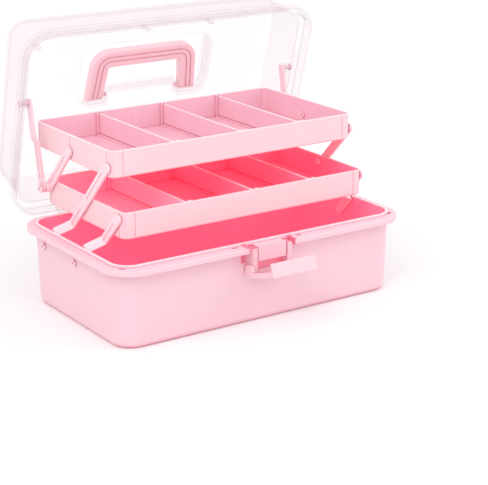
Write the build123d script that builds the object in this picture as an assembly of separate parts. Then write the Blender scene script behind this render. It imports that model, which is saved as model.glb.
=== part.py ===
from build123d import *
import math
import os

# Three-tier storage box: a tub, a clear hinged lid and two trays that rise on cantilever arms.
# Millimetres. The origin is the middle of the tub's underside, +X right, +Y rear, +Z up.
# The pose is the open one: lid tipped back, trays raised and stepped towards the rear.

# Walls and fits shared by the whole box
wall = 2.2
lid_wall = 2.0
tray_wall = 1.8
run_gap = 0.5  # side gap between pieces that swing past each other
pin_play = 0.1  # radial play of a pin in its hole
rod_play = 0.05  # radial play of the hinge rod in the tub's lugs
seat_gap = 0.3  # gap where one piece rests on another
overrun = 1.0  # extra reach of a cutter past the face it opens

# Tub
inner_length = 300.0  # at the rim
inner_width = 169.0
tub_height = 78.0  # to the top of the lip
inner_corner = 18.0
tub_draft = 1.5  # lean of each side from the rim to the underside
floor_thickness = 2.4
foot_radius = 6.0
floor_radius = 4.0

# Flange round the tub's rim
flange_reach = 12.5  # from the inner edge of the rim, at the front and rear
flange_end_reach = 10.4  # the same at the two ends
flange_height = 5.5
flange_wall = 2.0
flange_edge = 1.2
ledge_drop = 2.3  # top of the flange below the lip

# Lid, in its closed place
skirt_reach = 9.5  # from the inner edge of the rim
skirt_height = 13.0
lid_height = 65.0
lid_draft = 1.5
lid_top_radius = 11.0
lid_open_angle = 74.7

# Clip tabs inside the lid's skirt, and the slots for them in the flange
tab_width = 5.0
tab_thickness = 1.4
tab_dip = 1.4  # below the lid's rim
tab_inset = 1.0  # from the tub's lip
tab_play = 0.5
tab_place = 35.0

# Lid hinge
hinge_behind = 1.6  # axis behind the flange
hinge_below = 2.1  # axis below the flange
hinge_inset = 50.0  # middle of a hinge from the end of the rim
knuckle_radius = 4.0
knuckle_width = 16.0
hinge_lug_width = 6.0
hinge_arm_stand = 3.0
rod_radius = 1.5

# Handle recess in the lid's top
recess_width = 146.0
recess_depth = 15.5
recess_front = 53.0  # front edge, before the middle of the lid
recess_rear = 10.5  # rear edge, behind the middle of the lid
recess_corner = 14.0
tongue_gap = 0.9  # between a handle leg and the tongue that carries its peg
tongue_front = 2.5

# Handle, folded flat towards the front of the lid
handle_width = 125.0  # over the feet
handle_top_width = 115.0
handle_rise = 47.5  # pivot to the top of the bar
handle_bar = 17.0
handle_thickness = 9.0
handle_corner = 19.0
handle_edge = 1.8
handle_pivot = 4.0  # behind the middle of the lid
handle_floor_gap = 1.2
peg_radius = 2.2
peg_tip = 0.6  # past the inner face of the tongue's wall
handle_groove_width = 1.8
handle_groove_depth = 1.2
handle_groove_insets = (5.0, 9.6)

# Latch and its place on the tub
latch_width = 47.6
latch_skin = 2.3
latch_round = 6.5  # pivot to the outer face
latch_pivot_height = 52.5
latch_pivot_front = 3.5  # axis behind the front of the flange
latch_hook = 2.5
latch_hook_gap = 0.6
latch_rib = 4.8
latch_cheek = 2.2
latch_open_angle = 73.0
latch_pin_radius = 1.9
lug_width = 4.6
lug_rise = 4.5  # where the lug's web to the wall begins, above the pivot
lug_top_drop = 1.4  # top of the lug below the ledge
notch_play = 1.7
strap_width = 30.6
strap_wall = 2.2
strap_height = 14.0
strap_set_back = 0.3

# Arms
rear_foot_place = 55.8  # rear arm's foot behind the middle of the tub
foot_drop = 17.7  # feet below the lip
lower_arm = 69.4
upper_arm = 59.0
arm_open_angle = 45.7
arm_width = 9.0
arm_thickness = 2.4
arm_wall_gap = 0.7  # between a foot and the tub's wall
jog_start = 24.0
jog_run = 10.0
arm_groove_width = 2.4
arm_groove_depth = 0.7
arm_groove_margin = 8.0
pin_radius = 2.2
head_radius = 3.4
tray_head_radius = 2.8
head_thickness = 1.6
head_stand = 1.6  # head clear of the tray's inner face
head_gap = 0.4  # head clear of a flat wall
pin_split = 0.9
pin_split_depth = 2.4

# Links from the lid to the rear arms
link_pivot_front = 19.5  # before the middle of the closed lid
link_pivot_rise = 16.9  # above the lid's rim
link_length = 78.9
link_lead = 0.44  # degrees that the eye is turned past the rear arm's pin
link_top_width = 7.5  # at the lid, from where it widens to an arm's width
link_thickness = 2.4
link_stand = 4.2  # collar on the rear arm that keeps the link off it
link_boss = 3.3  # boss on the lid's wall that keeps the link off it
link_jog_start = 33.0
link_jog_run = 5.0
eye_play = 1.45
eye_wall = 1.75
eye_head_lip = 1.0

# Trays
tray_length = 264.2
tray_width = 145.0
tray_height = 24.6
tray_corner = 8.0
tray_inner_corner = 4.0
tray_foot_radius = 2.0
middle_pivot_height = 18.0  # above the tray's underside
top_pivot_height = 9.0
middle_pivot_front = 6.0  # long arm's pin before the middle of the middle tray
front_pin_inset = 7.5  # front arm's pin from the front of the middle tray
rear_pin_inset = 9.4  # rear arm's pin from the rear of the middle tray
top_pin_inset = 6.5  # long arm's pin from the front of the top tray
panel_line_width = 0.7
panel_line_depth = 0.4
front_line_inset = 11.6  # lines on the front and rear walls, from the ends of the tray
end_line_inset = 7.8  # lines on the end walls, from the front and rear of the tray
end_panel_line = 4.0  # third line on each end wall, behind the middle

# Dividers and their guides
divider_shares = (0.255, 0.528, 0.773)  # places along a tray, from its left end
divider_thickness = 1.6
divider_drop = 1.4  # below the tray's rim
guide_play = 0.25
guide_depth = 2.6
rear_guide_width = 1.6
front_guide_width = 3.6
floor_guide_height = 1.6
floor_guide_width = 1.8

# Places worked out from the sizes above
lip_half_length = inner_length / 2 + wall
lip_half_width = inner_width / 2 + wall
flange_half_length = inner_length / 2 + flange_end_reach
flange_half_width = inner_width / 2 + flange_reach
ledge_z = tub_height - ledge_drop
flange_low = ledge_z - flange_height
rim_z = ledge_z + seat_gap
skirt_top = rim_z + skirt_height
lid_top = rim_z + lid_height
skirt_half_length = inner_length / 2 + skirt_reach
skirt_half_width = inner_width / 2 + skirt_reach
hinge_place = inner_length / 2 - hinge_inset
hinge_y = flange_half_width + hinge_behind
hinge_z = flange_low - hinge_below
foot_z = tub_height - foot_drop
front_foot_place = rear_foot_place - tray_width / 2 + front_pin_inset + middle_pivot_front
tray_pivot_spacing = middle_pivot_front + tray_width / 2 - rear_pin_inset
top_pivot_front = tray_width / 2 - top_pin_inset
latch_y = -flange_half_width + latch_pivot_front
latch_z = latch_pivot_height
latch_face = latch_y - latch_round
lug_outer = latch_width / 2 - latch_cheek - run_gap
lug_radius = latch_round - latch_skin - run_gap
handle_z = lid_top - recess_depth + handle_floor_gap + handle_thickness / 2
handle_lean_share = (handle_width - handle_top_width) / 2 / (handle_rise + handle_thickness - handle_bar)
tongue_reach = handle_thickness + math.hypot(handle_pivot + tongue_front, lid_top - handle_z)
tongue_half = handle_width / 2 - handle_bar - handle_lean_share * tongue_reach - tongue_gap


def along_arm(place, reach):
    """Point of an open arm at a reach from its pivot, as (y, z)."""
    turn = math.radians(arm_open_angle)
    return place[0] - reach * math.cos(turn), place[1] + reach * math.sin(turn)


def opened(y, z):
    """Open place of a point of the closed lid, as (y, z)."""
    turn = math.radians(-lid_open_angle)
    out = y - hinge_y
    up = z - hinge_z
    return (hinge_y + out * math.cos(turn) - up * math.sin(turn),
            hinge_z + out * math.sin(turn) + up * math.cos(turn))


rear_foot = (rear_foot_place, foot_z)
front_foot = (front_foot_place, foot_z)
middle_pivot = along_arm(rear_foot, lower_arm)
middle_front_pivot = along_arm(front_foot, lower_arm)
middle_rear_pivot = (middle_pivot[0] + tray_pivot_spacing, middle_pivot[1])
top_pivot = along_arm(rear_foot, lower_arm + upper_arm)
top_rear_pivot = (top_pivot[0] + tray_pivot_spacing, top_pivot[1])
middle_tray_place = (middle_pivot[0] + middle_pivot_front, middle_pivot[1] - middle_pivot_height)
top_tray_place = (top_pivot[0] + top_pivot_front, top_pivot[1] - top_pivot_height)
link_pivot = opened(-link_pivot_front, rim_z + link_pivot_rise)

# Layers along X, from the trays outwards, on the right side
tray_face = tray_length / 2
arm_layer = tray_face + run_gap
arm_outside = arm_layer + arm_thickness
link_layer = arm_outside + link_stand + run_gap
link_outside = link_layer + link_thickness
wall_inside = inner_length / 2 - tub_draft * foot_drop / tub_height
foot_layer = wall_inside - arm_wall_gap - arm_thickness
lid_inside = lip_half_length - lid_wall - lid_draft
link_top_layer = lid_inside - link_boss - arm_wall_gap - link_thickness


def tub_side(side_at_rim, z):
    """Outer length or width of the leaning tub wall at a height."""
    return side_at_rim - 2 * tub_draft * (1 - z / tub_height)


def rectangle_between(u_low, v_low, u_high, v_high):
    return Pos((u_low + u_high) / 2, (v_low + v_high) / 2) * Rectangle(u_high - u_low, v_high - v_low)


def box_between(low, high):
    middle = [(a + b) / 2 for a, b in zip(low, high)]
    size = [b - a for a, b in zip(low, high)]
    return Pos(*middle) * Box(*size)


def disc(place, radius):
    return Pos(*place) * Circle(radius)


def side_profile(face, x_low, x_high):
    """Solid with a (y, z) outline, from one X to another."""
    return Pos(x_low, 0, 0) * extrude(Plane.YZ * face, amount=x_high - x_low)


def cylinder_x(place, radius, x_low, x_high):
    return side_profile(disc(place, radius), x_low, x_high)


def both_sides(shape):
    return shape + mirror(shape, about=Plane.YZ)


def rounded_block(half_length, half_width, corner, z_low, z_high):
    plan = RectangleRounded(2 * half_length, 2 * half_width, corner)
    return Pos(0, 0, z_low) * extrude(plan, amount=z_high - z_low)


def low_edges(shape):
    return shape.edges().group_by(Axis.Z)[0]


def high_edges(shape):
    return shape.edges().group_by(Axis.Z)[-1]


def tub_block(inset, z_low, z_high, edge):
    """Leaning rounded block, inset from the tub's outside, with a rounded lower edge."""
    ends = []
    for z in (z_low, z_high):
        length = tub_side(2 * lip_half_length, z) - 2 * inset
        width = tub_side(2 * lip_half_width, z) - 2 * inset
        ends.append(Pos(0, 0, z) * RectangleRounded(length, width, inner_corner + wall - inset))
    block = loft(ends)
    return fillet(low_edges(block), edge)


def clip_tab(z_low, z_high, grow):
    """The four clip tabs of the lid, or the slots that take them, as one shape."""
    reach = lip_half_width + tab_inset
    front = box_between((-tab_width / 2 - grow, -tab_thickness - grow, z_low),
                        (tab_width / 2 + grow, grow, z_high))
    corner_y = inner_width / 2 - inner_corner
    corner_x = inner_length / 2 - inner_corner
    out = inner_corner + wall + tab_inset
    straight = Pos(tab_place, -reach, 0) * front
    turned = Pos(corner_x, -corner_y, 0) * Rot(0, 0, 45) * Pos(0, -out, 0) * front
    return both_sides(straight + turned)


def make_flange():
    """Hollow flange, solid beside the latch notch and the hinge notches."""
    corner = inner_corner + flange_reach
    flange = rounded_block(flange_half_length, flange_half_width, corner, flange_low, ledge_z)
    flange = fillet(low_edges(flange) + high_edges(flange), flange_edge)
    hollow = rounded_block(flange_half_length - flange_wall, flange_half_width - flange_wall,
                           corner - flange_wall, flange_low - overrun, ledge_z - flange_wall)
    notch_half = latch_width / 2 + notch_play
    notch = box_between((-notch_half, -flange_half_width - overrun, flange_low - overrun),
                        (notch_half, 0, ledge_z + overrun))
    notch_ends = box_between((-notch_half - flange_wall, -flange_half_width, flange_low - overrun),
                             (notch_half + flange_wall, 0, ledge_z))
    hollow -= notch_ends
    hinge_half = knuckle_width / 2 + run_gap
    hinge_solid = hinge_half + hinge_lug_width
    hollow -= both_sides(box_between((hinge_place - hinge_solid, 0, flange_low - overrun),
                                     (hinge_place + hinge_solid, flange_half_width, ledge_z)))
    hinge_notch = box_between((hinge_place - hinge_half, 0, flange_low - overrun),
                              (hinge_place + hinge_half, flange_half_width + overrun, ledge_z + overrun))
    return flange - hollow - notch - both_sides(hinge_notch)


def make_latch_seat():
    """Two pivot lugs and the strap between them, under the front of the rim."""
    root = -tub_side(2 * lip_half_width, latch_z) / 2 + wall / 2
    front = latch_y - lug_radius
    lug_top = ledge_z - lug_top_drop
    outline = disc((latch_y, latch_z), lug_radius)
    outline += rectangle_between(front, latch_z, latch_y + lug_radius, lug_top)
    outline += rectangle_between(front, latch_z + lug_rise, root, lug_top)
    lug = side_profile(outline, lug_outer - lug_width, lug_outer)
    hole = cylinder_x((latch_y, latch_z), latch_pin_radius + pin_play,
                      lug_outer - lug_width - overrun, lug_outer + overrun)
    strap_front = -flange_half_width + strap_set_back
    strap = rectangle_between(strap_front, ledge_z - strap_height, strap_front + strap_wall, ledge_z)
    strap += rectangle_between(strap_front, ledge_z - strap_wall, root, ledge_z)
    return both_sides(lug - hole) + side_profile(strap, -strap_width / 2, strap_width / 2)


def make_hinge_lugs():
    """Pairs of lugs under the rear of the flange, bored for the hinge rods."""
    root = tub_side(2 * lip_half_width, flange_low) / 2 - wall / 2
    outline = disc((hinge_y, hinge_z), knuckle_radius)
    outline += rectangle_between(root, hinge_z - knuckle_radius, hinge_y, ledge_z - flange_wall)
    outline -= disc((hinge_y, hinge_z), rod_radius + rod_play)
    near = knuckle_width / 2 + run_gap
    lugs = Part()
    for start in (hinge_place - near - hinge_lug_width, hinge_place + near):
        lugs += side_profile(outline, start, start + hinge_lug_width)
    return both_sides(lugs)


def make_base():
    base = make_flange() + tub_block(0, 0, tub_height, foot_radius)
    base += make_hinge_lugs()
    base += make_latch_seat()
    base -= tub_block(wall, floor_thickness, tub_height + overrun, floor_radius)
    base -= clip_tab(rim_z - tab_dip - tab_play, ledge_z + overrun, tab_play)
    for foot in (rear_foot, front_foot):
        bore = cylinder_x(foot, pin_radius + pin_play, foot_layer, lip_half_length + overrun)
        base -= both_sides(bore)
    return base


def lid_dome(inset, z_low, z_high, edge):
    """Leaning rounded block above the skirt, with a rounded top edge."""
    ends = []
    for z in (z_low, z_high):
        lean = lid_draft * (z - skirt_top) / (lid_top - skirt_top)
        length = 2 * (lip_half_length - inset - lean)
        width = 2 * (lip_half_width - inset - lean)
        ends.append(Pos(0, 0, z) * RectangleRounded(length, width, inner_corner + wall - inset))
    dome = loft(ends)
    return fillet(high_edges(dome), edge)


def recess_plan(grow):
    """U-shaped recess for the folded handle, with the tongue that carries its pegs."""
    plan = rectangle_between(-recess_width / 2 - grow, -recess_front - grow,
                             recess_width / 2 + grow, recess_rear + grow)
    plan = fillet(plan.vertices(), recess_corner + grow)
    tongue = rectangle_between(-tongue_half + grow, -tongue_front + grow,
                               tongue_half - grow, recess_rear + 2 * grow + overrun)
    return plan - tongue


def make_lid():
    """The clear lid, in its open place."""
    corner = inner_corner + skirt_reach
    under = skirt_top - lid_wall
    lid = rounded_block(skirt_half_length, skirt_half_width, corner, rim_z, skirt_top)
    lid += lid_dome(0, under, lid_top, lid_top_radius)
    lid -= rounded_block(skirt_half_length - lid_wall, skirt_half_width - lid_wall, corner - lid_wall,
                         rim_z - overrun, under)
    lid -= lid_dome(lid_wall, under - overrun, lid_top - lid_wall, lid_top_radius - lid_wall)
    recess_low = lid_top - recess_depth
    lid += Pos(0, 0, recess_low - lid_wall) * extrude(recess_plan(lid_wall), amount=recess_depth)
    lid -= Pos(0, 0, recess_low) * extrude(recess_plan(0), amount=recess_depth + overrun)
    pivot = (handle_pivot, handle_z)
    lid -= both_sides(cylinder_x(pivot, peg_radius + pin_play, tongue_half - lid_wall - overrun,
                                 tongue_half + overrun))
    lid += clip_tab(rim_z - tab_dip, skirt_top - lid_wall / 2, 0)
    link_place = (-link_pivot_front, rim_z + link_pivot_rise)
    boss_end = lid_inside - link_boss
    lid += both_sides(cylinder_x(link_place, arm_width / 2, boss_end, lip_half_length - lid_wall / 2))
    lid -= both_sides(cylinder_x(link_place, pin_radius + pin_play, boss_end - overrun,
                                 lip_half_length + overrun))
    skirt_back = skirt_half_width - lid_wall / 2
    arm = Polygon((hinge_y - knuckle_radius, hinge_z), (hinge_y + knuckle_radius, hinge_z),
                  (skirt_half_width + hinge_arm_stand, skirt_top), (skirt_back, skirt_top),
                  (skirt_back, rim_z), align=None)
    arm += disc((hinge_y, hinge_z), knuckle_radius)
    arm -= disc((hinge_y, hinge_z), rod_radius + pin_play)
    lid += both_sides(side_profile(arm, hinge_place - knuckle_width / 2, hinge_place + knuckle_width / 2))
    return lid.rotate(Axis((0, hinge_y, hinge_z), (1, 0, 0)), -lid_open_angle)


def make_hinge_rod():
    """Right hinge rod, through both lugs and the lid's knuckle."""
    reach = knuckle_width / 2 + run_gap + hinge_lug_width
    return cylinder_x((hinge_y, hinge_z), rod_radius, hinge_place - reach, hinge_place + reach)


def handle_outline(inset):
    """Trapezium of the folded handle in plan, from its feet to its bar."""
    foot = handle_pivot + handle_thickness
    top = handle_pivot - handle_rise + inset
    outline = Polygon((-handle_width / 2 + inset, foot), (-handle_top_width / 2 + inset, top),
                      (handle_top_width / 2 - inset, top), (handle_width / 2 - inset, foot), align=None)
    return fillet(outline.vertices().group_by(Axis.Y)[0], handle_corner - inset)


def make_handle():
    """Carrying handle, folded into the open lid's recess."""
    half = handle_thickness / 2
    band = handle_outline(0) - handle_outline(handle_bar)
    bar = Pos(0, 0, handle_z - half) * extrude(band, amount=handle_thickness)
    bar = fillet(low_edges(bar) + high_edges(bar), handle_edge)
    for inset in handle_groove_insets:
        strip = handle_outline(inset) - handle_outline(inset + handle_groove_width)
        bar -= Pos(0, 0, handle_z + half - handle_groove_depth) * extrude(strip, amount=handle_thickness)
        bar -= Pos(0, 0, handle_z - half + handle_groove_depth) * extrude(strip, amount=-handle_thickness)
    side = disc((handle_pivot, handle_z), half)
    side += rectangle_between(handle_pivot - handle_rise - overrun, handle_z - half,
                              handle_pivot, handle_z + half)
    bar &= side_profile(side, -handle_width, handle_width)
    peg = cylinder_x((handle_pivot, handle_z), peg_radius, tongue_half - lid_wall - peg_tip,
                     tongue_half + handle_bar / 2)
    bar += both_sides(peg)
    return bar.rotate(Axis((0, hinge_y, hinge_z), (1, 0, 0)), -lid_open_angle)


def make_latch():
    """Front latch, swung out from the tub."""
    pivot = (latch_y, latch_z)
    half = latch_width / 2
    top = skirt_top + seat_gap + latch_hook
    inner_face = latch_face + latch_skin
    hook_tip = -lip_half_width - latch_hook_gap
    skin = rectangle_between(latch_face, latch_z, inner_face, top)
    skin += rectangle_between(latch_face, top - latch_hook, hook_tip, top)
    lower_quarter = rectangle_between(latch_face, latch_z - latch_round, latch_y, latch_z)
    skin += (disc(pivot, latch_round) - disc(pivot, latch_round - latch_skin)) & lower_quarter
    latch = side_profile(skin, -half, half)
    cheek = disc(pivot, latch_round)
    cheek += rectangle_between(latch_face, latch_z, latch_face + latch_rib, top)
    side = side_profile(cheek, half - latch_cheek, half)
    side += cylinder_x(pivot, latch_pin_radius, lug_outer - lug_width, half - latch_cheek / 2)
    latch += both_sides(side)
    return latch.rotate(Axis((0, latch_y, latch_z), (1, 0, 0)), latch_open_angle)


def divider_places():
    return [tray_length * share - tray_length / 2 for share in divider_shares]


def divider_guides(x):
    """Rails on the walls and floor of a tray that hold one divider."""
    near = divider_thickness / 2 + guide_play
    inside = tray_width / 2 - tray_wall
    root = tray_wall / 2
    guides = Part()
    for side in (-1, 1):
        rear = side * (near + rear_guide_width)
        front = side * (near + front_guide_width)
        low = side * (near + floor_guide_width)
        rails = ((rear, inside - guide_depth, inside + root, tray_height),
                 (front, -inside - root, -inside + guide_depth, tray_height),
                 (low, -inside - root, inside + root, tray_wall + floor_guide_height))
        for outer, y_low, y_high, top in rails:
            x_low, x_high = sorted((side * near, outer))
            guides += box_between((x + x_low, y_low, root), (x + x_high, y_high, top))
    return guides


def make_tray(place, pivots):
    """One tray at its open place, with divider guides and bores for the arm pins."""
    half_length = tray_length / 2
    half_width = tray_width / 2
    tray = rounded_block(half_length, half_width, tray_corner, 0, tray_height)
    tray = fillet(low_edges(tray), tray_foot_radius)
    hollow = rounded_block(half_length - tray_wall, half_width - tray_wall, tray_inner_corner,
                           tray_wall, tray_height + overrun)
    tray -= hollow
    for x in divider_places():
        tray += divider_guides(x)
    line_half = panel_line_width / 2
    line_x = half_length - front_line_inset
    line_y = half_width - end_line_inset
    for side in (-1, 1):
        wall_y = side * half_width
        line = box_between((line_x - line_half, wall_y - panel_line_depth, tray_foot_radius),
                           (line_x + line_half, wall_y + panel_line_depth, tray_height + overrun))
        tray -= both_sides(line)
    for y in (-line_y, end_panel_line, line_y):
        line = box_between((half_length - panel_line_depth, y - line_half, tray_foot_radius),
                           (half_length + panel_line_depth, y + line_half, tray_height + overrun))
        tray -= both_sides(line)
    tray = Pos(0, *place) * tray
    for pivot in pivots:
        bore = cylinder_x(pivot, pin_radius + pin_play, half_length - tray_corner, half_length + overrun)
        tray -= both_sides(bore)
    return tray


def make_divider(x, place):
    """One loose divider plate, standing between its guides."""
    reach = tray_width / 2 - tray_wall - seat_gap
    half = divider_thickness / 2
    plate = box_between((x - half, -reach, tray_wall), (x + half, reach, tray_height - divider_drop))
    return Pos(0, *place) * plate


def snap_pin(start, direction, reach, radius):
    """Split snap pin at the local origin, along X, with its head past a reach."""
    length = reach + head_thickness
    pin = Cylinder(pin_radius, length, align=(Align.CENTER, Align.CENTER, Align.MIN))
    pin += Pos(0, 0, reach) * Cylinder(radius, head_thickness, align=(Align.CENTER, Align.CENTER, Align.MIN))
    split = Box(pin_split, 2 * radius + overrun, pin_split_depth)
    pin -= Pos(0, 0, length) * split
    return Pos(start, 0, 0) * Rot(0, 90 * direction, 0) * pin


def bar_blank(reach, widths, sections):
    """Round-ended bar along local Y, made of (start, end, inside, outside) layers that join in jogs."""
    inside = []
    outside = []
    for start, end, low, high in sections:
        inside += [(low, start), (low, end)]
        outside += [(high, start), (high, end)]
    side = Polygon(*outside, *reversed(inside), align=None)
    wide = max(widths)
    bar = Pos(0, 0, -wide / 2) * extrude(side, amount=wide)
    near, far = [width / 2 for width in widths]
    ends = disc((0, 0), near) + disc((reach, 0), far)
    ends += Polygon((0, -near), (reach, -far), (reach, far), (0, near), align=None)
    return bar & side_profile(ends, sections[-1][2] - 2 * overrun - reach, sections[0][3] + reach)


def arm_groove(outside, start, end):
    half = arm_groove_width / 2
    return box_between((outside - arm_groove_depth, start, -half), (outside + overrun, end, half))


def inward_pin(reach):
    """Pin from an arm through a tray's end wall."""
    depth = run_gap + tray_wall + head_stand
    return Pos(0, reach, 0) * snap_pin(arm_layer, -1, depth, tray_head_radius)


def foot_pin():
    """Pin from an arm's foot out through the tub's end wall."""
    outside = foot_layer + arm_thickness
    return snap_pin(outside, 1, arm_wall_gap + wall + head_gap, head_radius)


def set_arm(arm, place):
    """Arm from its local frame, with Y along it, to its open place."""
    return Pos(0, *place) * Rot(180 - arm_open_angle, 0, 0) * arm


def lower_arm_blank(reach):
    end = arm_width / 2
    foot = (-end, jog_start, foot_layer, foot_layer + arm_thickness)
    rest = (jog_start + jog_run, reach + end, arm_layer, arm_outside)
    arm = bar_blank(reach, (arm_width, arm_width), (foot, rest))
    return arm + foot_pin()


def make_long_arm():
    """Right long arm, from the tub past the middle tray to the top tray."""
    reach = lower_arm + upper_arm
    arm = lower_arm_blank(reach)
    arm -= arm_groove(arm_outside, jog_start + jog_run, lower_arm - arm_groove_margin)
    arm -= arm_groove(arm_outside, lower_arm + arm_groove_margin, reach - arm_groove_margin)
    arm += inward_pin(lower_arm) + inward_pin(reach)
    return set_arm(arm, rear_foot)


def make_front_arm():
    """Right front arm, from the tub to the middle tray."""
    arm = lower_arm_blank(lower_arm)
    arm -= arm_groove(arm_outside, jog_start + jog_run, lower_arm - arm_groove_margin)
    arm += inward_pin(lower_arm)
    return set_arm(arm, front_foot)


def make_rear_arm():
    """Right rear arm between the trays, with the pin that the lid's link pulls."""
    end = arm_width / 2
    arm = bar_blank(upper_arm, (arm_width, arm_width), ((-end, upper_arm + end, arm_layer, arm_outside),))
    arm -= arm_groove(arm_outside, arm_groove_margin, upper_arm - arm_groove_margin)
    arm += inward_pin(0) + inward_pin(upper_arm)
    link_head = pin_radius + eye_play + eye_head_lip
    arm += cylinder_x((0, 0), link_head, arm_layer, arm_outside + link_stand)
    arm += snap_pin(arm_outside + link_stand, 1, link_thickness + 2 * run_gap, link_head)
    return set_arm(arm, middle_rear_pivot)


def make_lid_link():
    """Right link from the lid's side wall down to the rear arm's pin."""
    eye = pin_radius + eye_play
    boss = eye + eye_wall
    top = (-link_top_width / 2, link_jog_start, link_top_layer, link_top_layer + link_thickness)
    low = (link_jog_start + link_jog_run, link_length + boss, link_layer, link_outside)
    link = bar_blank(link_length, (link_top_width, arm_width), (top, low))
    link += side_profile(disc((link_length, 0), boss), link_layer, link_outside)
    link -= arm_groove(link_outside, link_jog_start + link_jog_run, link_length - arm_groove_margin)
    link -= side_profile(disc((link_length, 0), eye), link_layer - overrun, link_outside + overrun)
    outside = link_top_layer + link_thickness
    link += snap_pin(outside, 1, lip_half_length + head_gap - outside, head_radius)
    aim = math.atan2(middle_rear_pivot[1] - link_pivot[1], middle_rear_pivot[0] - link_pivot[0])
    return Pos(0, *link_pivot) * Rot(math.degrees(aim) + link_lead, 0, 0) * link


def write_node(name, shape):
    export_step(shape, os.path.join("parts", name + ".step"))


def write_pair(name, right):
    write_node(name + "_right", right)
    write_node(name + "_left", mirror(right, about=Plane.YZ))


os.makedirs("parts", exist_ok=True)
write_node("base_box", make_base())
write_node("lid_shell", make_lid())
write_node("carry_handle", make_handle())
write_node("front_latch", make_latch())
write_pair("hinge_rod", make_hinge_rod())

middle_pivots = (middle_pivot, middle_front_pivot, middle_rear_pivot)
write_node("middle_tray", make_tray(middle_tray_place, middle_pivots))
write_node("top_tray", make_tray(top_tray_place, (top_pivot, top_rear_pivot)))
for tray_name, tray_place in (("middle", middle_tray_place), ("top", top_tray_place)):
    for number, divider_x in enumerate(divider_places(), start=1):
        write_node(f"{tray_name}_divider_{number}", make_divider(divider_x, tray_place))

write_pair("long_arm", make_long_arm())
write_pair("front_arm", make_front_arm())
write_pair("rear_arm", make_rear_arm())
write_pair("lid_link", make_lid_link())
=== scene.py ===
import math

import bpy
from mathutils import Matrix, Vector


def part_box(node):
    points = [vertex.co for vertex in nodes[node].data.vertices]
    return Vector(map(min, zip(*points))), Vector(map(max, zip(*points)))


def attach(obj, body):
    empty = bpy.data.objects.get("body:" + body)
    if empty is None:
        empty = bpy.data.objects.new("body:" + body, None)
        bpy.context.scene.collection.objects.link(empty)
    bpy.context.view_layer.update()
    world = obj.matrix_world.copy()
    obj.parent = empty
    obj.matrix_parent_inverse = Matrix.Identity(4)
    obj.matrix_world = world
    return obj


# Three-tier storage box: the looks of its pieces, a pale floor, soft light and the camera.
# Metres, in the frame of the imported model.

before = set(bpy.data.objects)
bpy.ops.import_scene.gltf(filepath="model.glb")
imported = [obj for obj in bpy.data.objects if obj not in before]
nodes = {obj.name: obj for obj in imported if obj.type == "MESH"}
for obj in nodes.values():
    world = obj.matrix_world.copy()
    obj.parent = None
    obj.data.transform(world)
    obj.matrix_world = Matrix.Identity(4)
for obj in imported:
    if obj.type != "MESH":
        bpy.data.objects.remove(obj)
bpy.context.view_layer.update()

# Camera, fitted to the photograph
image_width_px = 488
focal_px = 1532.15
sensor_width = 36.0
camera_place = Vector((-0.759902, -1.168848, 0.502011))
camera_yaw = 0.597
camera_pitch = 0.313

# Sizes of the box that the looks follow
tub_half = (0.150, 0.0845)
tub_corner = 0.018
tub_wall = 0.0022
tub_draft = 0.0015
tub_floor = 0.0024
rim_height = 0.078
tray_wall = 0.0018
tray_corner = 0.004
rail_height = 0.0016
guide_reach = 0.0031
divider_numbers = (1, 2, 3)

# Fine lines of painted shade, rims with a painted highlight and hollows with painted shade
foot_line = 0.0007
line_soft = 0.0002
rim_depth = 0.0012
crease_shade_reach = 0.0022
hollow_shade_reach = 0.009

# Painted shade in the pockets of the flange beside the latch's lugs, on the lugs' tops and in the gap under the
# strap between them
pocket_x = (0.0234, 0.0265)
pocket_z = (0.060, 0.0758)
pocket_y = (-0.0966, -0.0862)
pocket_soft = 0.002
pocket_shade = 0.8
lug_x = (0.0164, 0.0212)
lug_top_z = (0.0739, 0.0750)
strap_x = 0.0163
strap_gap_z = (0.050, 0.0618)
strap_gap_shade_share = 0.6

# Slots in the flange for the lid's clip tabs, which get painted shade
slot_places = ((0.035, -0.0884, 0.0746), (0.1475, -0.0820, 0.0746))
slot_reach = 0.0038
slot_top = 0.0757

# Fine upright flutes on the rear walls of the trays
flute_pitch = 0.003
flute_depth = 0.0004
flute_root = 0.0005
flute_steps = 6
flute_margin = 0.0012

# Masks: shares of a wall's thickness, the lean of faces that look down, and how closed in a hollow is where
# painted shade starts and ends
inner_wall_share = 0.3
outer_wall_share = 0.7
upward_span = (-0.3, -0.1)
crease_shade_span = (0.25, 0.75)
hollow_shade_span = (0.15, 0.45)
occlusion_samples = 8

# Surface of moulded plastic
noise_span = (0.3, 0.7)
cloud_scale = 14.0
cloud_detail = 3.0
cloud_shade = (0.975, 1.015)
skin_scale = 2200.0
skin_detail = 2.0
skin_share = 0.35
swell_scale = 160.0
swell_detail = 1.0
bump_depth = 0.0004
moulded_bump = 0.06
moulded_roughness = 0.34
handle_roughness = 0.4
roughness_below = 0.04
roughness_above = 0.05
plastic_ior = 1.49
under_skin_share = 0.05
under_skin_radius = (1.0, 0.4, 0.45)
under_skin_depth = 0.003

# Clear plastic: how much it covers on flat faces, at edges, which carry painted shade, and where it turns away
clear_edge = 0.0009
clear_edge_span = (0.99, 0.8)
clear_edge_samples = 6
clear_swell_scale = 45.0
clear_bump = 0.05
clear_roughness = (0.06, 0.14)
flat_cover = (0.045, 0.06)
edge_cover = 0.52
slant_cover = 0.18
slant_blend = 0.3

# The lid is fainter at the recess round the folded handle
recess_reach = (0.012, 0.016)
recess_edge_share = 0.35
recess_slant_share = 0.5

# Drawn steel
steel_stretch = (3000.0, 200.0, 200.0)
steel_detail = 2.0
steel_roughness = (0.22, 0.4)

# Display values to linear ones
byte_top = 255
toe_end = 0.04045
toe_slope = 12.92
curve_offset = 0.055
curve_power = 2.4


def linear(r, g, b):
    """Linear colour from 8-bit display values."""
    out = []
    for value in (r, g, b):
        share = value / byte_top
        curve = ((share + curve_offset) / (1 + curve_offset)) ** curve_power
        out.append(share / toe_slope if share <= toe_end else curve)
    return (*out, 1.0)


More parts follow.
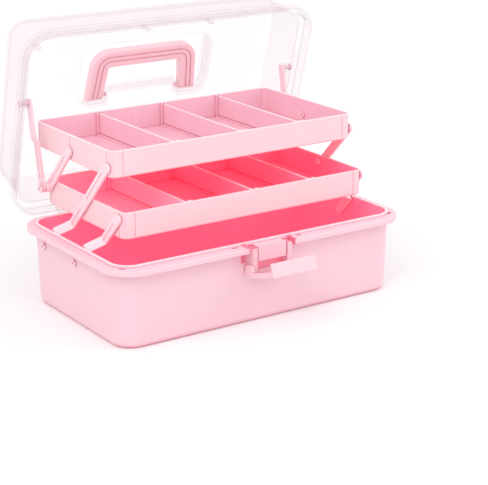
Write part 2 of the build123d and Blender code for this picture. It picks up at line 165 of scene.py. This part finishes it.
# Colours
white = (1.0, 1.0, 1.0, 1.0)
tub_pink = linear(252, 209, 220)
# The inner pinks below are painted shade and the paler middle one is painted light: the plastic is one colour,
# and these stand in for light bouncing inside the tub and the trays
tub_shaded_pink = linear(255, 158, 186)
tray_pink = linear(253, 212, 219)
middle_shaded_pink = linear(255, 153, 179)
middle_lit_pink = linear(255, 194, 211)
top_shaded_pink = linear(246, 197, 211)
handle_pink = linear(253, 217, 223)
latch_pink = linear(252, 212, 221)
arm_pink = linear(253, 216, 225)
clear_tint = linear(240, 219, 230)
# Painted shade for the clear lid's edges
clear_edge_shade = linear(172, 158, 165)
# Painted highlight on the rims
rim_highlight_pink = linear(255, 240, 245)
# Painted shade in seams, creases and lines
crease_shade_tint = (0.80, 0.42, 0.52, 1.0)
rod_grey = linear(200, 200, 204)
rod_dark = linear(176, 176, 182)
floor_grey = (0.80, 0.80, 0.80, 1.0)

# Painted glow: emission in place of light that bounces inside and that thin walls let through; its colour and
# its strength
tub_painted_glow = (linear(255, 110, 140), 0.28)
middle_painted_glow = (linear(255, 70, 97), 0.38)
top_painted_glow = (top_shaded_pink, 0.03)
arm_painted_glow = (arm_pink, 0.04)
handle_painted_glow = (linear(255, 176, 192), 0.1)

# Surroundings, floor and lamps; each lamp has a name, a place, a size and a power
sky_light = 0.865
floor_light = (0.19, 0.30)
floor_near = (0.25, 0.7)
floor_half = 6.0
floor_z = -0.0002
lamp_target = Vector((0.0, 0.0, 0.1))
lamps = (("key", (-1.3, -0.7, 1.4), 1.4, 10.0),
         ("fill", (1.3, -0.9, 1.0), 1.2, 5.0),
         ("front", (0.2, -2.2, 0.4), 1.5, 3.2))


class Graph:
    """A material's shader nodes, added and linked by short calls."""

    def __init__(self, name):
        self.material = bpy.data.materials.new(name)
        self.material.use_nodes = True
        self.tree = self.material.node_tree
        self.tree.nodes.clear()

    def node(self, kind, **settings):
        made = self.tree.nodes.new(kind)
        for key, value in settings.items():
            setattr(made, key, value)
        return made

    def put(self, socket, value):
        if isinstance(value, bpy.types.NodeSocket):
            self.tree.links.new(value, socket)
        else:
            socket.default_value = value

    def math(self, operation, a, b=0.0, clamp=False):
        made = self.node("ShaderNodeMath", operation=operation, use_clamp=clamp)
        self.put(made.inputs[0], a)
        self.put(made.inputs[1], b)
        return made.outputs[0]

    def times(self, first, *others):
        for other in others:
            first = self.math("MULTIPLY", first, other)
        return first

    def most(self, first, *others):
        for other in others:
            first = self.math("MAXIMUM", first, other)
        return first

    def vector(self, operation, a, b=(0.0, 0.0, 0.0)):
        made = self.node("ShaderNodeVectorMath", operation=operation)
        self.put(made.inputs[0], a)
        self.put(made.inputs[1], b)
        return made.outputs["Value" if operation in ("LENGTH", "DOT_PRODUCT") else "Vector"]

    def noise(self, place, scale, detail):
        made = self.node("ShaderNodeTexNoise")
        self.put(made.inputs["Vector"], place)
        made.inputs["Scale"].default_value = scale
        made.inputs["Detail"].default_value = detail
        return made.outputs["Fac"]

    def span(self, value, low, high, out_low=0.0, out_high=1.0):
        made = self.node("ShaderNodeMapRange")
        self.put(made.inputs["Value"], value)
        made.inputs["From Min"].default_value = low
        made.inputs["From Max"].default_value = high
        made.inputs["To Min"].default_value = out_low
        made.inputs["To Max"].default_value = out_high
        return made.outputs["Result"]

    def band(self, value, low, high, soft):
        """1 between two values, falling to 0 over a soft edge outside them."""
        return self.times(self.span(value, low - soft, low), self.span(value, high, high + soft, 1.0, 0.0))

    def mix(self, share, a, b):
        made = self.node("ShaderNodeMix", data_type="RGBA")
        self.put(made.inputs["Factor"], share)
        self.put(made.inputs["A"], a)
        self.put(made.inputs["B"], b)
        return made.outputs["Result"]

    def tint(self, a, b):
        made = self.node("ShaderNodeMix", data_type="RGBA", blend_type="MULTIPLY")
        made.inputs["Factor"].default_value = 1.0
        self.put(made.inputs["A"], a)
        self.put(made.inputs["B"], b)
        return made.outputs["Result"]

    def scale(self, vector, share):
        made = self.node("ShaderNodeVectorMath", operation="SCALE")
        self.put(made.inputs[0], vector)
        self.put(made.inputs["Scale"], share)
        return made.outputs["Vector"]

    def axis(self, vector, name):
        made = self.node("ShaderNodeSeparateXYZ")
        self.put(made.inputs[0], vector)
        return made.outputs[name]

    def place(self):
        return self.node("ShaderNodeTexCoord").outputs["Object"]

    def normal(self):
        return self.node("ShaderNodeNewGeometry").outputs["Normal"]

    def bump(self, height, strength):
        made = self.node("ShaderNodeBump")
        made.inputs["Strength"].default_value = strength
        made.inputs["Distance"].default_value = bump_depth
        self.put(made.inputs["Height"], height)
        return made.outputs["Normal"]

    def sunk(self, reach, low, high, alone=False):
        """1 deep in a groove or a hollow of this width, 0 on open faces; alone leaves out other pieces."""
        made = self.node("ShaderNodeAmbientOcclusion", samples=occlusion_samples, only_local=alone)
        made.inputs["Distance"].default_value = reach
        return self.span(made.outputs["AO"], low, high, 1.0, 0.0)

    def finish(self, shader):
        output = self.node("ShaderNodeOutputMaterial")
        self.tree.links.new(shader, output.inputs["Surface"])
        return self.material


def inside_share(graph, place, centre, half, corner, z_low, z_high, wall, draft=0.0):
    """1 on the inner faces of a round-cornered box, 0 on its outer faces and its rim."""
    local = graph.vector("SUBTRACT", place, (*centre, 0.0))
    height = graph.axis(local, "Z")
    flat = graph.vector("MULTIPLY", graph.vector("ABSOLUTE", local), (1.0, 1.0, 0.0))
    beyond = graph.vector("SUBTRACT", flat, (half[0] - corner, half[1] - corner, 0.0))
    out = graph.vector("LENGTH", graph.vector("MAXIMUM", beyond, (0.0, 0.0, 0.0)))
    out = graph.math("ADD", out, graph.span(height, 0.0, z_high, draft, 0.0))
    within = graph.span(out, corner + wall * inner_wall_share, corner + wall * outer_wall_share, 1.0, 0.0)
    above = graph.span(height, z_low, z_low + wall * inner_wall_share)
    below = graph.span(height, z_high - rim_depth, z_high - rim_depth / 2, 1.0, 0.0)
    upward = graph.span(graph.axis(graph.normal(), "Z"), *upward_span)
    return graph.times(within, upward, above, below)


def moulded(name, colour, deep=None, inside=None, glow=None, rim_z=None, lines=None, hollow=False,
            alone=False, roughness=moulded_roughness):
    """Smooth moulded plastic with faint clouding, a fine skin texture and painted shade in its seams.

    Inner faces, and small hollows too if that is wanted, take the deep colour as painted shade and a painted
    glow, emission in place of light that bounces inside and that thin walls let through. A rim at height rim_z
    is paler, a painted highlight, and lines get painted shade as seams do.
    """
    graph = Graph(name)
    place = graph.place()
    shader = graph.node("ShaderNodeBsdfPrincipled")
    # Painted shade in seams and creases, from how closed in the face is
    crease_shade = graph.sunk(crease_shade_reach, *crease_shade_span, alone)
    if lines is not None:
        crease_shade = graph.most(crease_shade, lines(graph, place))
    base = colour
    within = graph.math("SUBTRACT", 1.0, crease_shade)
    if inside is not None:
        # Painted shade: inner faces and hollows take the deep colour
        painted_shade_share = inside(graph, place)
        if hollow:
            painted_shade_share = graph.most(painted_shade_share, graph.sunk(hollow_shade_reach, *hollow_shade_span))
        base = graph.mix(painted_shade_share, base, deep(graph, place) if callable(deep) else deep)
        within = graph.times(within, painted_shade_share)
    # Painted glow: emission on the inner faces, though no lamp is there
    if glow is not None:
        painted_glow_colour, painted_glow_strength = glow
        shader.inputs["Emission Color"].default_value = painted_glow_colour
        graph.put(shader.inputs["Emission Strength"], graph.times(within, painted_glow_strength))
    # Painted highlight: a paler band at the rim
    if rim_z is not None:
        rim = graph.span(graph.axis(place, "Z"), rim_z - rim_depth / 2, rim_z - rim_depth / 4)
        base = graph.mix(rim, base, rim_highlight_pink)
    shade = graph.mix(crease_shade, white, crease_shade_tint)
    cloud = graph.span(graph.noise(place, cloud_scale, cloud_detail), *noise_span, *cloud_shade)
    shade = graph.scale(shade, cloud)
    skin = graph.noise(place, skin_scale, skin_detail)
    swell = graph.noise(place, swell_scale, swell_detail)
    height = graph.math("ADD", graph.times(skin, skin_share), swell)
    gloss = graph.span(swell, *noise_span, roughness - roughness_below, roughness + roughness_above)
    graph.put(shader.inputs["Base Color"], graph.tint(base, shade))
    graph.put(shader.inputs["Roughness"], gloss)
    graph.put(shader.inputs["Normal"], graph.bump(height, moulded_bump))
    shader.inputs["IOR"].default_value = plastic_ior
    shader.inputs["Subsurface Weight"].default_value = under_skin_share
    shader.inputs["Subsurface Radius"].default_value = under_skin_radius
    shader.inputs["Subsurface Scale"].default_value = under_skin_depth
    return graph.finish(shader.outputs["BSDF"])


def recess_share(graph, place):
    """1 on the lid's recess round the folded handle, 0 on the rest of the lid."""
    low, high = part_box("carry_handle")
    away = graph.vector("ABSOLUTE", graph.vector("SUBTRACT", place, tuple((low + high) / 2)))
    beyond = graph.vector("SUBTRACT", away, tuple((high - low) / 2))
    distance = graph.vector("LENGTH", graph.vector("MAXIMUM", beyond, (0.0, 0.0, 0.0)))
    return graph.span(distance, *recess_reach, 1.0, 0.0)


def clear_plastic():
    """Thin clear moulded plastic that shows best at its edges, which are painted greyer as painted shade, and
    where it turns away.
    """
    graph = Graph("clear_plastic")
    place = graph.place()
    swell = graph.noise(place, clear_swell_scale, swell_detail)
    recess = recess_share(graph, place)
    rounded = graph.node("ShaderNodeBevel", samples=clear_edge_samples)
    rounded.inputs["Radius"].default_value = clear_edge
    turned = graph.vector("DOT_PRODUCT", rounded.outputs["Normal"], graph.normal())
    # Painted shade: edges found by the rounded normal turn greyer and cover more
    edge = graph.times(graph.span(turned, *clear_edge_span),
                       graph.span(recess, 0.0, 1.0, 1.0, recess_edge_share))
    slant = graph.node("ShaderNodeLayerWeight")
    slant.inputs["Blend"].default_value = slant_blend
    slanted = graph.times(slant.outputs["Fresnel"],
                          graph.span(recess, 0.0, 1.0, slant_cover, slant_cover * recess_slant_share))
    cover = graph.math("ADD", graph.span(swell, *noise_span, *flat_cover), graph.times(edge, edge_cover))
    cover = graph.math("ADD", cover, slanted, clamp=True)
    shader = graph.node("ShaderNodeBsdfPrincipled")
    graph.put(shader.inputs["Base Color"], graph.mix(edge, clear_tint, clear_edge_shade))
    shader.inputs["IOR"].default_value = plastic_ior
    graph.put(shader.inputs["Roughness"], graph.span(swell, *noise_span, *clear_roughness))
    graph.put(shader.inputs["Alpha"], cover)
    graph.put(shader.inputs["Normal"], graph.bump(swell, clear_bump))
    return graph.finish(shader.outputs["BSDF"])


def drawn_steel():
    """Drawn rod with fine lines round it."""
    graph = Graph("rod_steel")
    stretched = graph.vector("MULTIPLY", graph.place(), steel_stretch)
    lines = graph.noise(stretched, 1.0, steel_detail)
    shader = graph.node("ShaderNodeBsdfPrincipled")
    graph.put(shader.inputs["Base Color"], graph.mix(lines, rod_grey, rod_dark))
    shader.inputs["Metallic"].default_value = 1.0
    graph.put(shader.inputs["Roughness"], graph.span(lines, *noise_span, *steel_roughness))
    return graph.finish(shader.outputs["BSDF"])


def dress(node, material):
    """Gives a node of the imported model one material."""
    slots = nodes[node].data.materials
    slots.clear()
    slots.append(material)


def tray_inside(node):
    """Mask maker for the inside of one tray."""
    low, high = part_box(node)
    centre = ((low.x + high.x) / 2, (low.y + high.y) / 2)
    half = ((high.x - low.x) / 2 - tray_wall, (high.y - low.y) / 2 - tray_wall)
    return lambda graph, place: inside_share(graph, place, centre, half, tray_corner,
                                             low.z + tray_wall / 2, high.z, tray_wall)


def middle_painted_light(graph, place):
    """Painted light and shade inside the middle tray: paler up to its first divider, where more light comes in,
    and deeper beyond it.
    """
    low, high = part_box("middle_divider_1")
    beyond = graph.span(graph.axis(place, "X"), (low.x + high.x) / 2, high.x)
    return graph.mix(beyond, middle_lit_pink, middle_shaded_pink)


def latch_pockets(graph, place):
    """Mask for painted shade in the pockets beside the latch's lugs, which lie in deep shade, and on the lugs'
    tops.
    """
    across = graph.axis(graph.vector("ABSOLUTE", place), "X")
    height = graph.axis(place, "Z")
    pocket = graph.times(graph.band(across, *pocket_x, pocket_soft), graph.band(height, *pocket_z, pocket_soft))
    top = graph.times(graph.band(across, *lug_x, line_soft), graph.band(height, *lug_top_z, line_soft))
    front = graph.band(graph.axis(place, "Y"), *pocket_y, line_soft)
    return graph.times(graph.most(pocket, top), front, pocket_shade)


def strap_gap_shade(graph, place):
    """Mask for painted shade in the gap under the strap between the latch's lugs."""
    across = graph.axis(graph.vector("ABSOLUTE", place), "X")
    within = graph.span(across, strap_x, strap_x + line_soft, strap_gap_shade_share, 0.0)
    tall = graph.band(graph.axis(place, "Z"), *strap_gap_z, line_soft)
    front = graph.band(graph.axis(place, "Y"), *pocket_y, line_soft)
    return graph.times(within, tall, front)


def tub_shade_mask(graph, place):
    """Mask for painted shade and painted glow: the inside of the tub, the pockets beside the latch and the gap
    under the strap.
    """
    inner = inside_share(graph, place, (0.0, 0.0), tub_half, tub_corner, tub_floor / 2, rim_height,
                         tub_wall, tub_draft)
    return graph.most(inner, latch_pockets(graph, place), strap_gap_shade(graph, place))


def tub_shade_lines(graph, place):
    """Mask for painted shade, as in the seams, on the tub: the latch's pockets and the clip slots."""
    mask = latch_pockets(graph, place)
    across = graph.vector("MULTIPLY", graph.vector("ABSOLUTE", place), (1.0, 0.0, 0.0))
    mirrored = graph.vector("ADD", across, graph.vector("MULTIPLY", place, (0.0, 1.0, 1.0)))
    below = graph.span(graph.axis(place, "Z"), slot_top - line_soft, slot_top, 1.0, 0.0)
    for slot_place in slot_places:
        away = graph.vector("LENGTH", graph.vector("SUBTRACT", mirrored, slot_place))
        near = graph.span(away, slot_reach - line_soft, slot_reach, 1.0, 0.0)
        mask = graph.most(mask, graph.times(near, below))
    return mask


def divider_shade_below_top(node):
    """Mask maker for painted shade and painted glow on a divider's faces, which keeps the top edge of a divider
    pale.
    """
    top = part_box(node)[1].z
    return lambda graph, place: graph.span(graph.axis(place, "Z"), top - rim_depth, top - rim_depth / 2,
                                           1.0, 0.0)


def foot_shade_line(node):
    """Mask maker for the fine line of painted shade where a divider goes down between its floor rails."""
    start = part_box(node)[0].z + rail_height
    return lambda graph, place: graph.band(graph.axis(place, "Z"), start, start + foot_line, line_soft)


def dress_tray(level, deep, glow):
    """Looks of one tray and its dividers."""
    tray = f"{level}_tray"
    rim_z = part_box(tray)[1].z
    # Inner faces take painted shade and painted glow and the rim a painted highlight; dividers keep a pale top
    # edge and get a line of painted shade at the foot
    dress(tray, moulded(f"{tray}_plastic", tray_pink, deep, tray_inside(tray), glow, rim_z))
    for number in divider_numbers:
        divider = f"{level}_divider_{number}"
        rim_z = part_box(divider)[1].z
        dress(divider, moulded(f"{divider}_plastic", tray_pink, deep, divider_shade_below_top(divider), glow, rim_z,
                               foot_shade_line(divider)))


def dress_others():
    """Looks of the tub, lid, handle, latch, arms, links and rods."""
    # The tub gets painted shade and painted glow inside, in its hollows, its latch pockets and under the strap,
    # painted shade in its seams and clip slots, and a painted highlight on its rim
    dress("base_box", moulded("tub_plastic", tub_pink, tub_shaded_pink, tub_shade_mask, tub_painted_glow, rim_height, tub_shade_lines,
                              hollow=True))
    dress("lid_shell", clear_plastic())
    # The handle has a painted glow
    dress("carry_handle", moulded("handle_plastic", handle_pink, glow=handle_painted_glow, alone=True,
                                  roughness=handle_roughness))
    dress("front_latch", moulded("latch_plastic", latch_pink))
    # The arms have a painted glow
    arm = moulded("arm_plastic", arm_pink, glow=arm_painted_glow)
    link = moulded("link_plastic", arm_pink, alone=True)
    steel = drawn_steel()
    for side in ("left", "right"):
        for name in ("long_arm", "front_arm", "rear_arm"):
            dress(f"{name}_{side}", arm)
        dress(f"lid_link_{side}", link)
        dress(f"hinge_rod_{side}", steel)


def mesh_object(name, points, faces, material):
    """A new mesh object in the scene, in one material."""
    mesh = bpy.data.meshes.new(name)
    mesh.from_pydata(points, [], faces)
    mesh.update()
    made = bpy.data.objects.new(name, mesh)
    made.data.materials.append(material)
    bpy.context.scene.collection.objects.link(made)
    return made


def flute_strip(points, faces, x_low, x_high, wall_y, z_low, z_high):
    """Adds one closed fluted strip, proud of a rear wall whose inner face is at wall_y."""
    count = max(1, round((x_high - x_low) / flute_pitch))
    steps = count * flute_steps
    start = len(points)
    for step in range(steps + 1):
        x = x_low + (x_high - x_low) * step / steps
        front = wall_y - flute_depth * abs(math.sin(math.pi * step / flute_steps))
        back = wall_y + flute_root
        ring = ((x, front, z_low), (x, front, z_high), (x, back, z_high), (x, back, z_low))
        points.extend(ring)
    sides = len(ring)
    for step in range(steps):
        near = start + sides * step
        far = near + sides
        for side in range(sides):
            after = (side + 1) % sides
            faces.append((near + side, far + side, far + after, near + after))
    end = start + sides * steps
    faces.append(tuple(start + side for side in range(sides)))
    faces.append(tuple(end + side for side in reversed(range(sides))))


def make_flutes(level, deep, glow):
    """Fine upright flutes between the divider guides of one tray's rear wall."""
    tray = f"{level}_tray"
    low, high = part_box(tray)
    edges = [low.x + tray_wall + tray_corner]
    for number in divider_numbers:
        plate_low, plate_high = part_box(f"{level}_divider_{number}")
        edges += [plate_low.x - guide_reach, plate_high.x + guide_reach]
    edges.append(high.x - tray_wall - tray_corner)
    wall_y = high.y - tray_wall
    points = []
    faces = []
    for x_low, x_high in zip(edges[::2], edges[1::2]):
        flute_strip(points, faces, x_low, x_high, wall_y, low.z + tray_wall, high.z - flute_margin)
    # The flutes take the same painted shade and painted glow as the tray's inner faces
    look = moulded(f"{level}_flute_plastic", tray_pink, deep, tray_inside(tray), glow)
    flutes = mesh_object(f"{level}_tray_flutes", points, faces, look)
    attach(flutes, tray)


def seen_share(tree):
    """1 for rays from the eye and for what gloss and clear plastic show, 0 for light on the object."""
    light = tree.nodes.new("ShaderNodeLightPath")
    share = light.outputs["Is Camera Ray"]
    for name in ("Is Glossy Ray", "Is Transmission Ray"):
        both = tree.nodes.new("ShaderNodeMath")
        both.operation = "MAXIMUM"
        tree.links.new(share, both.inputs[0])
        tree.links.new(light.outputs[name], both.inputs[1])
        share = both.outputs[0]
    return share


def make_floor():
    """Pale floor that is white to the eye, more so away from the box, and keeps a soft shadow."""
    graph = Graph("pale_floor")
    matt = graph.node("ShaderNodeBsdfDiffuse")
    matt.inputs["Color"].default_value = floor_grey
    glow = graph.node("ShaderNodeEmission")
    spread = graph.span(graph.vector("LENGTH", graph.place()), *floor_near, *floor_light)
    graph.put(glow.inputs["Strength"], graph.times(seen_share(graph.tree), spread))
    both = graph.node("ShaderNodeAddShader")
    graph.put(both.inputs[0], matt.outputs["BSDF"])
    graph.put(both.inputs[1], glow.outputs["Emission"])
    corners = [(-floor_half, -floor_half, floor_z), (floor_half, -floor_half, floor_z),
               (floor_half, floor_half, floor_z), (-floor_half, floor_half, floor_z)]
    floor = mesh_object("floor", corners, [(0, 1, 2, 3)], graph.finish(both.outputs["Shader"]))


def make_world():
    """Even surroundings, white to the eye."""
    world = bpy.data.worlds.new("studio")
    world.use_nodes = True
    tree = world.node_tree
    strength = tree.nodes.new("ShaderNodeMapRange")
    strength.inputs["To Min"].default_value = sky_light
    tree.links.new(seen_share(tree), strength.inputs["Value"])
    sky = tree.nodes["Background"]
    sky.inputs["Color"].default_value = white
    tree.links.new(strength.outputs["Result"], sky.inputs["Strength"])
    bpy.context.scene.world = world


def make_lamp(name, place, size, power):
    """A round soft lamp that points at the middle of the box."""
    lamp = bpy.data.lights.new(name, "AREA")
    lamp.shape = "DISK"
    lamp.size = size
    lamp.energy = power
    made = bpy.data.objects.new(name, lamp)
    made.location = place
    made.rotation_euler = (lamp_target - Vector(place)).to_track_quat("-Z", "Y").to_euler()
    bpy.context.scene.collection.objects.link(made)


def make_camera():
    """The camera that took the photograph, as fitted."""
    lens = bpy.data.cameras.new("camera")
    lens.sensor_fit = "HORIZONTAL"
    lens.sensor_width = sensor_width
    lens.lens = focal_px / image_width_px * sensor_width
    camera = bpy.data.objects.new("camera", lens)
    camera.location = camera_place
    camera.rotation_euler = (math.pi / 2 - camera_pitch, 0.0, -camera_yaw)
    bpy.context.scene.collection.objects.link(camera)
    bpy.context.scene.camera = camera


dress_others()
for tray_look in (("middle", middle_painted_light, middle_painted_glow), ("top", top_shaded_pink, top_painted_glow)):
    dress_tray(*tray_look)
    make_flutes(*tray_look)
make_floor()
make_world()
for lamp_look in lamps:
    make_lamp(*lamp_look)
make_camera()
bpy.context.scene.view_settings.view_transform = "Standard"
